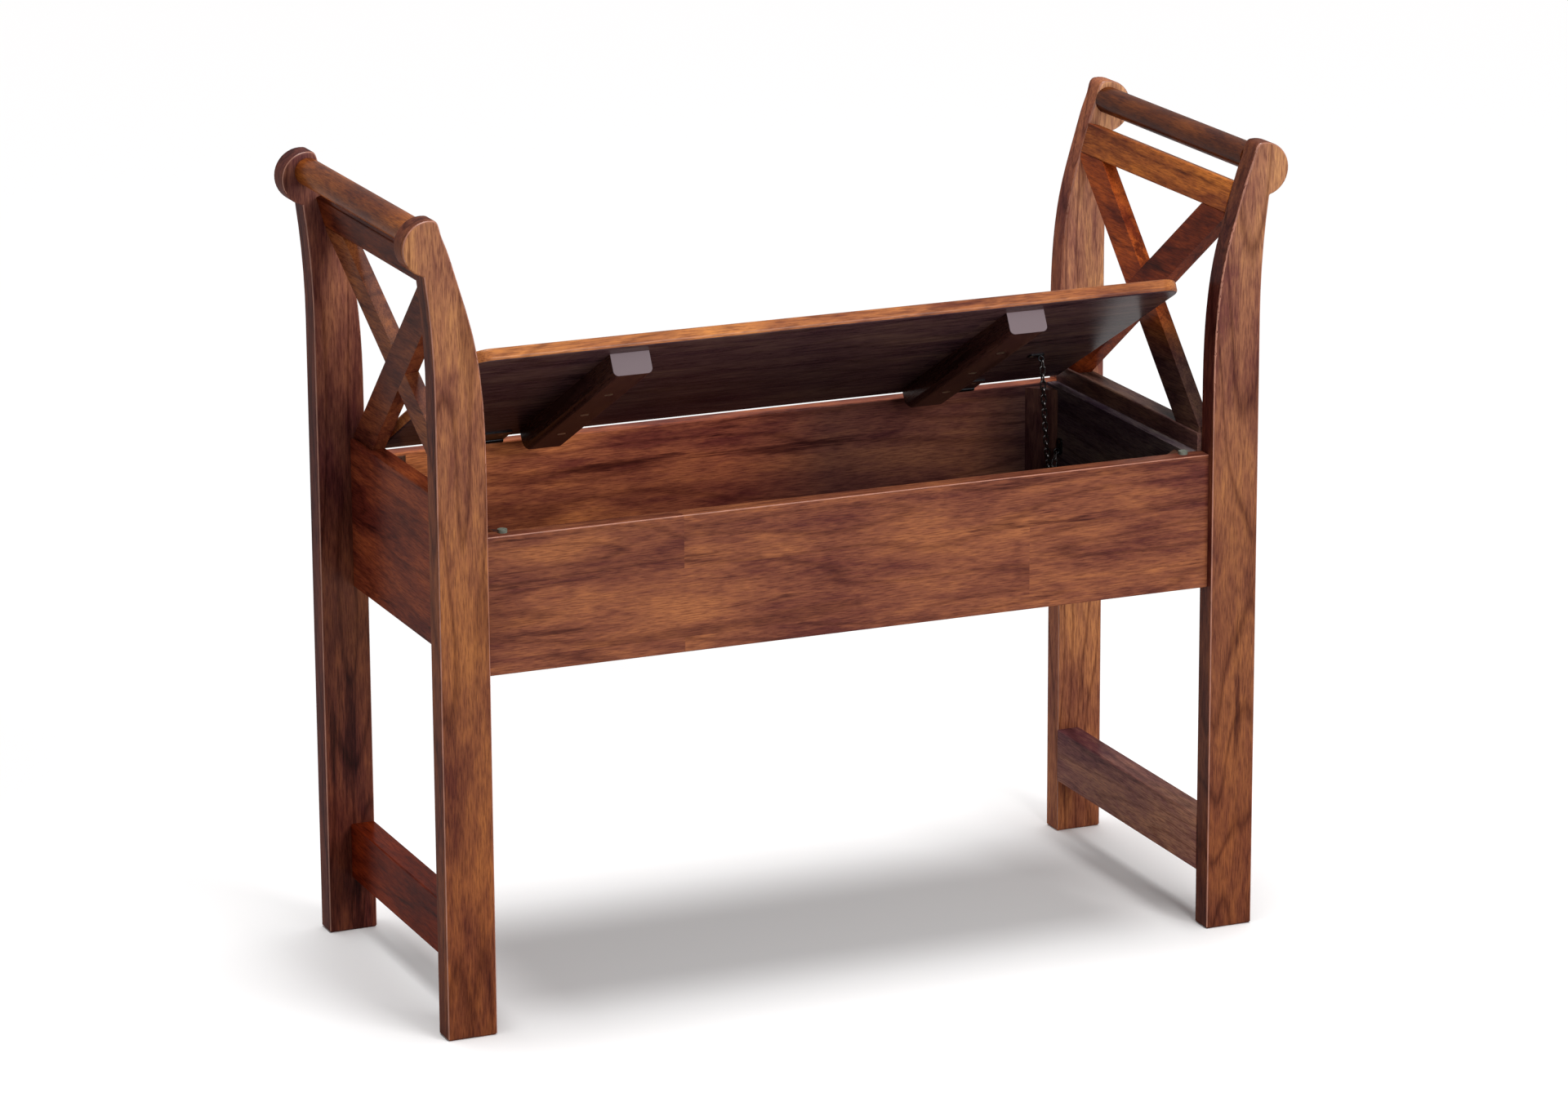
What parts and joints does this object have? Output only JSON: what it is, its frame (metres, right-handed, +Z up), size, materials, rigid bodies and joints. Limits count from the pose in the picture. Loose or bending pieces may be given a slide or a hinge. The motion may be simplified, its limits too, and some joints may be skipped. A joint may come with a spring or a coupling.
{
  "type": "storage bench with lift-up lid",
  "caption": "Wooden end-of-bed storage bench with raised scrolled side arms, crossed braces, round hand rails and a hinged lift-up seat lid over a shallow box.",
  "frame": {"origin": "centre of the bench on the floor it stands on", "axes": "+X to the right as seen from the front, -Y towards the front, +Z up"},
  "size_m": [0.874, 0.356, 0.764],
  "materials": {
    "leg_wood": "semi-gloss lacquer, straight grain along the leg",
    "rail_wood": "semi-gloss lacquer, grain along the bar",
    "board_wood": "semi-gloss lacquer, glued-up boards with dark streaks",
    "inner_wood": "satin lacquer",
    "lid_wood": "semi-gloss lacquer, grain along the lid",
    "dowel_wood": "bare beech",
    "bumper_rubber": "matt",
    "black_steel": "semi-gloss black",
    "screw_steel": "dark bronze plating"
  },
  "bodies": {
    "frame": {"leg_front_right": "leg_wood", "leg_front_left": "leg_wood", "leg_rear_right": "leg_wood", "leg_rear_left": "leg_wood", "arm_round_rail_right": "rail_wood", "arm_round_rail_left": "rail_wood", "arm_flat_rail_right": "rail_wood", "arm_flat_rail_left": "rail_wood", "brace_rising_right": "rail_wood", "brace_falling_right": "rail_wood", "brace_rising_left": "rail_wood", "brace_falling_left": "rail_wood", "stretcher_right": "rail_wood", "stretcher_left": "rail_wood", "end_panel_right": "board_wood", "end_panel_left": "board_wood", "box_front_board": "board_wood", "box_back_board": "board_wood", "box_lining_right": "inner_wood", "box_lining_left": "inner_wood", "box_bottom_panel": "inner_wood", "box_corner_blocks": "inner_wood", "front_board_dowels": "dowel_wood", "back_board_dowels": "dowel_wood", "lid_bumpers": "bumper_rubber", "hinge_frame_leaf_left": "black_steel", "hinge_frame_leaf_right": "black_steel", "hinge_pin_left": "black_steel", "hinge_pin_right": "black_steel", "hinge_frame_screws": "screw_steel", "chain_plate_box": "black_steel", "chain_plate_box_screw": "screw_steel", "stay_chain": "black_steel"},
    "lid": {"lid_panel": "lid_wood", "lid_batten_left": "lid_wood", "lid_batten_right": "lid_wood", "batten_screws": "screw_steel", "hinge_lid_leaf_left": "black_steel", "hinge_lid_leaf_right": "black_steel", "hinge_lid_screws": "screw_steel", "chain_plate_lid": "black_steel", "chain_plate_lid_screw": "screw_steel"}
  },
  "joints": [
    {"name": "lid_hinge", "type": "hinge", "parent": "frame", "child": "lid", "pos_m": [0, 0.149, 0.4706], "axis": [-1, 0, 0], "range_deg": [-28, 57], "deforming": ["stay_chain"]}
  ]
}
